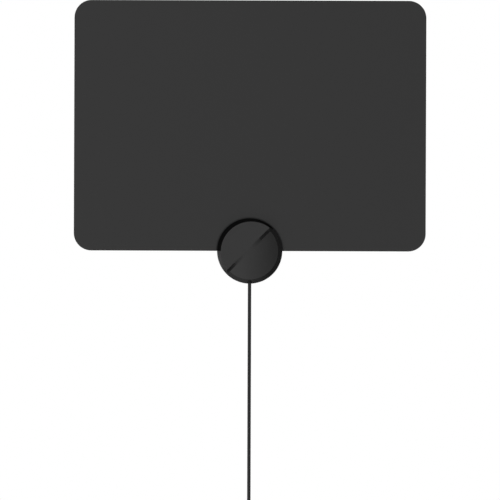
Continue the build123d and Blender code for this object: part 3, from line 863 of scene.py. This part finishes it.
# %% [markdown]
# ## Braid
# The cable's screen is a braid of tinned copper wires that cross in two slanting directions. Its axis runs
# along Z, so the angle about that axis and the height give each wire its place: one set of wires climbs to
# the right, the other to the left, and each is a sine of angle plus or minus height. Where both are high,
# wires cross. Where neither wire lies on top the colour is darker: that is painted shade in the gaps between
# the wires.

# %% Finish: tinned copper braid
wires_round = 8
wire_climb = 2.5 * MM
wire_relief = 0.06 * MM
tin_silver_and_gap_shade = ("#6d6e70", "#c3c5c8")
tin_roughness = (0.4, 0.25)
full_turn = 2 * math.pi

braid, tree, shader, place = new_finish("tinned_copper_braid", metallic=1.0)
centred = add_node(tree, "ShaderNodeVectorMath", {1: (0, -cable_depth, 0)}, {0: place}, operation="ADD")
parts = add_node(tree, "ShaderNodeSeparateXYZ", links={"Vector": centred.outputs["Vector"]})
turn = add_node(
    tree, "ShaderNodeMath", links={0: parts.outputs["Y"], 1: parts.outputs["X"]}, operation="ARCTAN2"
)
around = add_node(tree, "ShaderNodeMath", {1: wires_round}, {0: turn.outputs["Value"]}, operation="MULTIPLY")
climb = add_node(
    tree, "ShaderNodeMath", {1: full_turn / wire_climb}, {0: parts.outputs["Z"]}, operation="MULTIPLY"
)
wires = []
for direction in ("ADD", "SUBTRACT"):
    slanted = add_node(
        tree,
        "ShaderNodeMath",
        links={0: around.outputs["Value"], 1: climb.outputs["Value"]},
        operation=direction,
    )
    wires.append(add_node(tree, "ShaderNodeMath", links={0: slanted.outputs["Value"]}, operation="SINE"))
crossing = add_node(
    tree,
    "ShaderNodeMath",
    links={0: wires[0].outputs["Value"], 1: wires[1].outputs["Value"]},
    operation="MAXIMUM",
)
height = add_node(
    tree, "ShaderNodeMapRange", {"From Min": -1.0, "From Max": 1.0}, {"Value": crossing.outputs["Value"]}
)
# Painted shade: the darker grey goes where no wire lies on top
finish_surface(tree, shader, height.outputs["Result"], tin_silver_and_gap_shade, tin_roughness, wire_relief)
wear(braid, nodes["cable_braid"])

# %% [markdown]
# ## Studio
# Product photographs on white are taken before a bright backdrop, with a large soft light from the front.
# The backdrop is the world behind the antenna, at a strength of 1, which is white. Camera rays see white
# wherever they leave the scene. Glossy and transmitted rays see it too where they go backwards, as in a
# real studio, and so does the antenna's back. In front, the world is a broad soft box that is bright on
# the viewer's left and falls off to the right, and dimmer towards the sides. The satin dome mirrors that
# fall. A soft sun from the front lights every colour about as it is written. The floor below is pale and
# keeps the shadow.

# %% World: where the backdrop and the soft box are
backdrop_edge = (0.12, 0.3)
soft_box_edge = (-0.25, -0.65)
side_dimming = 0.5

scene = bpy.context.scene
scene.view_settings.view_transform = "Standard"
world = bpy.data.worlds.new("studio")
scene.world = world
world.use_nodes = True
sky = world.node_tree
backdrop = sky.nodes["Background"]
backdrop.inputs["Color"].default_value = linear("#ffffff")
way = add_node(sky, "ShaderNodeTexCoord").outputs["Generated"]
heading = add_node(sky, "ShaderNodeSeparateXYZ", links={"Vector": way})
behind = add_node(
    sky,
    "ShaderNodeMapRange",
    {"From Min": backdrop_edge[0], "From Max": backdrop_edge[1]},
    {"Value": heading.outputs["Y"]},
    interpolation_type="SMOOTHSTEP",
)
frontal = add_node(
    sky,
    "ShaderNodeMapRange",
    {"From Min": soft_box_edge[0], "From Max": soft_box_edge[1], "To Min": side_dimming},
    {"Value": heading.outputs["Y"]},
    interpolation_type="SMOOTHSTEP",
)
print("world nodes:", len(sky.nodes))

# %% World: fall of the soft box from left to right
box_lean = math.radians(12)
# How far to the right of the viewer a direction lies, from -1 to 1, and how bright the soft box is there
soft_box_levels = (
    (-1.0, 0.82),
    (-0.4, 0.82),
    (-0.2, 0.73),
    (-0.1, 0.66),
    (0.0, 0.47),
    (0.08, 0.49),
    (0.13, 0.43),
    (0.24, 0.32),
    (0.36, 0.23),
    (0.47, 0.08),
    (1.0, 0.08),
)

dark_side = Vector((math.cos(box_lean), 0, math.sin(box_lean)))
to_dark = add_node(sky, "ShaderNodeVectorMath", {1: dark_side}, {0: way}, operation="DOT_PRODUCT")
side = add_node(
    sky, "ShaderNodeMapRange", {"From Min": -1.0, "From Max": 1.0}, {"Value": to_dark.outputs["Value"]}
)
soft_box = add_node(sky, "ShaderNodeValToRGB", links={"Fac": side.outputs["Result"]})
ramp = soft_box.color_ramp.elements
ramp_centre = 0.5
while len(ramp) < len(soft_box_levels):
    ramp.new(ramp_centre)
for element, (to_right, light) in zip(ramp, soft_box_levels):
    element.position = (to_right + 1) / 2
    element.color = (light, light, light, 1)
front_light = add_node(
    sky,
    "ShaderNodeMath",
    links={0: soft_box.outputs["Color"], 1: frontal.outputs["Result"]},
    operation="MULTIPLY",
)
print("soft box levels:", len(ramp))

# %% World: what each kind of ray sees
rays = add_node(sky, "ShaderNodeLightPath")
mirrored = add_node(
    sky,
    "ShaderNodeMath",
    links={0: rays.outputs["Is Glossy Ray"], 1: rays.outputs["Is Transmission Ray"]},
    operation="MAXIMUM",
)
mirrored_back = add_node(
    sky,
    "ShaderNodeMath",
    links={0: mirrored.outputs["Value"], 1: behind.outputs["Result"]},
    operation="MULTIPLY",
)
white_share = add_node(
    sky,
    "ShaderNodeMath",
    links={0: rays.outputs["Is Camera Ray"], 1: mirrored_back.outputs["Value"]},
    operation="MAXIMUM",
)
room_light = add_node(
    sky,
    "ShaderNodeMix",
    {"B": 1.0},
    {"Factor": behind.outputs["Result"], "A": front_light.outputs["Value"]},
    data_type="FLOAT",
)
level = add_node(
    sky,
    "ShaderNodeMix",
    {"B": 1.0},
    {"Factor": white_share.outputs["Value"], "A": room_light.outputs["Result"]},
    data_type="FLOAT",
)
sky.links.new(level.outputs["Result"], backdrop.inputs["Strength"])
print("world nodes:", len(sky.nodes))

# %% Sun
sun_place = (0, -2, 0.5)
sun_tilt = math.radians(80)
sun_softness = math.radians(40)
sun_level = 0.68

bpy.ops.object.select_all(action="DESELECT")
bpy.ops.object.light_add(type="SUN", location=sun_place, rotation=(sun_tilt, 0, 0))
key_light = bpy.context.object
# A sun of strength pi lights a surface that faces it to the colour it is given
key_light.data.energy = sun_level * math.pi
key_light.data.angle = sun_softness
key_light.visible_glossy = False
print("sun strength", round(key_light.data.energy, 2))

# %% Floor
floor_size = 1.3
floor_place = (0, 0.1, -0.42)
floor_grain = 2.0 * MM
floor_relief = 0.01 * MM
floor_whites = ("#efefed", "#f2f2f0")
floor_roughness = (0.7, 0.8)

bpy.ops.mesh.primitive_plane_add(size=floor_size, location=floor_place)
floor = bpy.context.object
floor.name = "floor"
floor.visible_glossy = False
paint, tree, shader, place = new_finish("matt_floor_paint")
rolled = add_node(tree, "ShaderNodeTexNoise", {"Scale": 1 / floor_grain, "Detail": GRAIN}, {"Vector": place})
finish_surface(tree, shader, rolled.outputs["Fac"], floor_whites, floor_roughness, floor_relief)
wear(paint, floor)

# %% [markdown]
# ## Joining the pieces to the part
# Each new piece says which CAD nodes it stands for, which body it moves with and which material slot it
# belongs to. Each is parented to the empty of its body, and the CAD nodes it stands for are hidden. Only the
# nut has a body of its own: it turns on the plug.

for piece, replaced, body, slot in (
    (cable, ("cable", "cable_coil", "cable_tail"), "antenna", "jacket"),
    (tie, ("coil_tie",), "antenna", "nylon"),
    (pod_front, ("front_cover",), "antenna", "cover"),
    (nut, ("coupling_nut",), "nut", "nickel"),
):
    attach(piece, body)
    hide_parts(*replaced)

# %% Last update of the view layer
bpy.context.view_layer.update()
